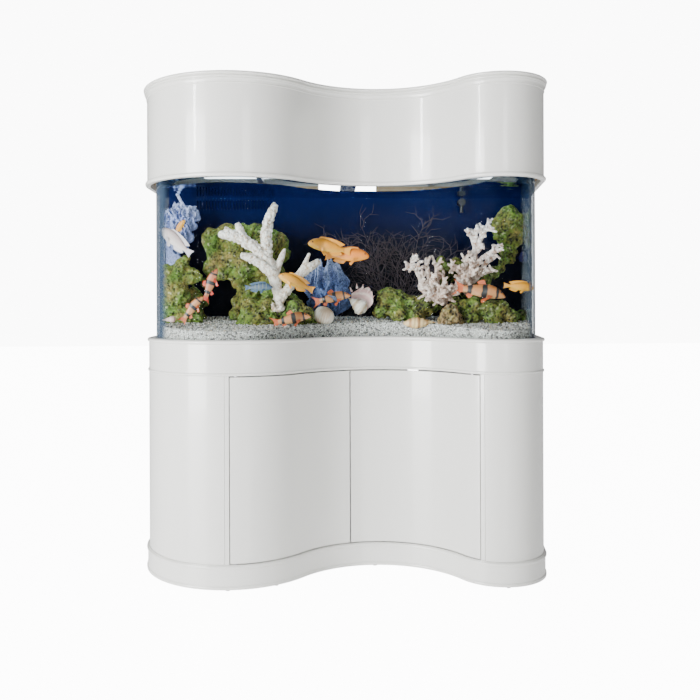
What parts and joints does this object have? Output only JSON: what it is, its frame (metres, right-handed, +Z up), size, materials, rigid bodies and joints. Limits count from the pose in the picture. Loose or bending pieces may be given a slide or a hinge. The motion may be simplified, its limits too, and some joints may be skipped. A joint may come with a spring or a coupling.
{
  "type": "aquarium on stand",
  "caption": "Wave-fronted clear tank with planted rockwork, on a two-door cabinet stand, under a lift-off canopy with hinged feeding lids.",
  "frame": {"origin": "on the floor, under the middle of the bounding box", "axes": "+Z up, front faces -Y, +X to the right seen from the front"},
  "size_m": [1.5542, 0.635, 1.779],
  "materials": {
    "lacquered_board": "white gloss lacquer on moulded board",
    "bare_plywood": "bare plywood",
    "black_foam": "dense foam",
    "steel_pin": "zinc plated",
    "light_metal": "satin",
    "white_plastic": "moulded white",
    "grey_plastic": "moulded grey",
    "clear_acrylic": "clear polished acrylic",
    "blue_acrylic": "blue acrylic",
    "black_plastic": "moulded black",
    "pale_gravel": "pale crushed gravel with dark grains",
    "mossy_rock": "rough rock with algae",
    "pale_coral": "rough white coral skeleton",
    "blue_coral": "pale blue coral skeleton",
    "dark_coral": "thin dark twigs",
    "shell": "natural shell"
  },
  "bodies": {
    "cabinet_and_tank": {"floor_glides": "black_foam", "plinth_skirt": "lacquered_board", "plinth_lower_bead": "lacquered_board", "plinth_upper_bead": "lacquered_board", "floor_board": "lacquered_board", "left_end_panel": "lacquered_board", "right_end_panel": "lacquered_board", "back_panel": "lacquered_board", "left_divider": "lacquered_board", "right_divider": "lacquered_board", "centre_divider": "lacquered_board", "left_stile": "lacquered_board", "right_stile": "lacquered_board", "fascia": "lacquered_board", "door_top_bead": "lacquered_board", "deck": "bare_plywood", "cabinet_rim": "lacquered_board", "left_door_pivots": "steel_pin", "right_door_pivots": "steel_pin", "latch_bodies": "white_plastic", "foam_mat": "black_foam", "tank_bottom": "clear_acrylic", "tank_front_wrap": "clear_acrylic", "tank_back": "clear_acrylic", "tank_brace": "clear_acrylic", "blue_partition": "blue_acrylic", "chamber_baffles": "blue_acrylic", "filter_foam": "black_foam", "heater": "black_plastic", "return_pump": "black_plastic", "return_pipe": "black_plastic", "gravel_bed": "pale_gravel", "left_rockwork": "mossy_rock", "arch_rockwork": "mossy_rock", "middle_rockwork": "mossy_rock", "right_rockwork": "mossy_rock", "right_peak": "mossy_rock", "antler_coral": "pale_coral", "left_coral": "blue_coral", "middle_coral": "blue_coral", "right_coral": "pale_coral", "sea_fan": "dark_coral", "shells": "shell"},
    "left_door": {"left_door": "lacquered_board"},
    "right_door": {"right_door": "lacquered_board"},
    "left_plunger": {"left_latch_plunger": "grey_plastic"},
    "right_plunger": {"right_latch_plunger": "grey_plastic"},
    "canopy": {"canopy_wall": "lacquered_board", "canopy_lower_bead": "lacquered_board", "canopy_rim": "lacquered_board", "canopy_top": "lacquered_board", "canopy_ledge": "bare_plywood", "light_bars": "light_metal", "light_housings": "light_metal", "light_diffusers": "white_plastic", "lid_pins": "steel_pin"},
    "left_lid": {"left_lid": "lacquered_board"},
    "right_lid": {"right_lid": "lacquered_board"},
    "spout": {"return_spout": "black_plastic"}
  },
  "joints": [
    {"name": "left_door_hinge", "type": "hinge", "parent": "cabinet_and_tank", "child": "left_door", "pos_m": [-0.40343, -0.27722, 0.4], "axis": [0, 0, -1], "range_deg": [0, 105]},
    {"name": "right_door_hinge", "type": "hinge", "parent": "cabinet_and_tank", "child": "right_door", "pos_m": [0.42045, -0.24433, 0.4], "axis": [0, 0, 1], "range_deg": [0, 105]},
    {"name": "left_latch_push", "type": "slide", "parent": "cabinet_and_tank", "child": "left_plunger", "axis": [0, 1, 0], "range_m": [0, 0.003], "stiffness_N_per_m": 300, "springref_m": -0.002},
    {"name": "right_latch_push", "type": "slide", "parent": "cabinet_and_tank", "child": "right_plunger", "axis": [0, 1, 0], "range_m": [0, 0.003], "stiffness_N_per_m": 300, "springref_m": -0.002},
    {"name": "canopy_lift", "type": "slide", "parent": "cabinet_and_tank", "child": "canopy", "axis": [0, 0, 1], "range_m": [0, 0.3]},
    {"name": "left_lid_hinge", "type": "hinge", "parent": "canopy", "child": "left_lid", "pos_m": [-0.32, 0.2345, 1.77], "axis": [-1, 0, 0], "range_deg": [0, 80]},
    {"name": "right_lid_hinge", "type": "hinge", "parent": "canopy", "child": "right_lid", "pos_m": [0.32, 0.2345, 1.77], "axis": [-1, 0, 0], "range_deg": [0, 80]},
    {"name": "spout_turn", "type": "hinge", "parent": "cabinet_and_tank", "child": "spout", "pos_m": [0.456, 0.1845, 1.384], "axis": [0, 1, 0], "range_deg": [-60, 60]}
  ]
}
